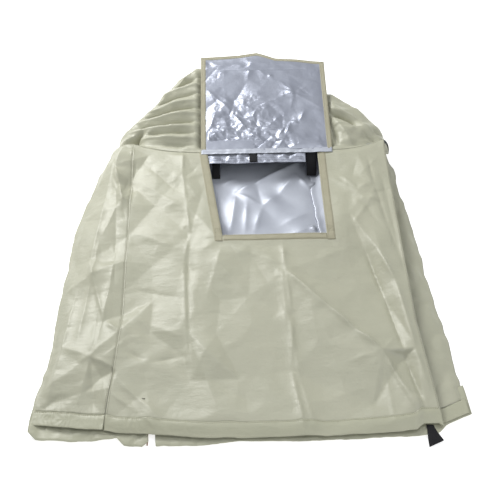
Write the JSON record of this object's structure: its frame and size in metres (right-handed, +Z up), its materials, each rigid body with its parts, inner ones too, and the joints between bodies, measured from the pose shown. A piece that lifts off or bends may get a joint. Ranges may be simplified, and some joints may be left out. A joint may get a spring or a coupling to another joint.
{
  "type": "fabric equipment cover",
  "caption": "Box-shaped coated-fabric weather cover, lying collapsed, with a fold-back window flap, taped window, elastic hem and webbing straps.",
  "frame": {"origin": "middle of the footprint of the collapsed cover, on the surface it lies on", "axes": "+Y from the open hem towards the closed top, +X to the right seen from the hem, +Z up out of the surface"},
  "size_m": [0.871, 1.1082, 0.1033],
  "materials": {
    "cloth": "satin",
    "hem_cloth": "satin",
    "lining": "gloss",
    "tape": "matte",
    "webbing": "matte",
    "elastic": "matte"
  },
  "bodies": {
    "cover": {"front_panel": "cloth", "window_left_tape": "tape", "window_right_tape": "tape", "window_sill_tape": "tape", "window_header": "lining", "back_panel": "cloth", "left_side_panel": "cloth", "right_side_panel": "cloth", "top_panel": "cloth", "front_hem": "hem_cloth", "front_hem_elastic": "elastic", "back_hem": "hem_cloth", "back_hem_elastic": "elastic", "left_side_hem": "hem_cloth", "left_side_elastic": "elastic", "right_side_hem": "hem_cloth", "right_side_elastic": "elastic"},
    "flap": {"flap_panel": "lining", "flap_left_tape": "tape", "flap_right_tape": "tape", "flap_end_binding": "tape"},
    "tie_strap": {"centre_tie_strap": "webbing"},
    "left_strap": {"left_inner_strap": "webbing"},
    "right_strap": {"right_inner_strap": "webbing"},
    "pull_tab": {"hem_pull_tab": "webbing"}
  },
  "joints": [
    {"name": "flap_fold", "type": "hinge", "parent": "cover", "child": "flap", "pos_m": [0.0617, 0.21407, 0.0542], "axis": [1, 0, 0], "range_deg": [0, 172]},
    {"name": "tie_strap_lift", "type": "hinge", "parent": "cover", "child": "tie_strap", "pos_m": [0.0277, 0.18007, 0.04931], "axis": [-1, 0, 0], "range_deg": [-150, 0]},
    {"name": "left_strap_lift", "type": "hinge", "parent": "cover", "child": "left_strap", "pos_m": [-0.0643, 0.21267, 0.04657], "axis": [1, 0, 0], "range_deg": [-15, 0]},
    {"name": "right_strap_lift", "type": "hinge", "parent": "cover", "child": "right_strap", "pos_m": [0.1707, 0.21267, 0.05087], "axis": [1, 0, 0], "range_deg": [-15, 0]},
    {"name": "pull_tab_lift", "type": "hinge", "parent": "cover", "child": "pull_tab", "pos_m": [0.3507, -0.51013, 0.0081], "axis": [1, 0, 0], "range_deg": [-70, 0]}
  ]
}
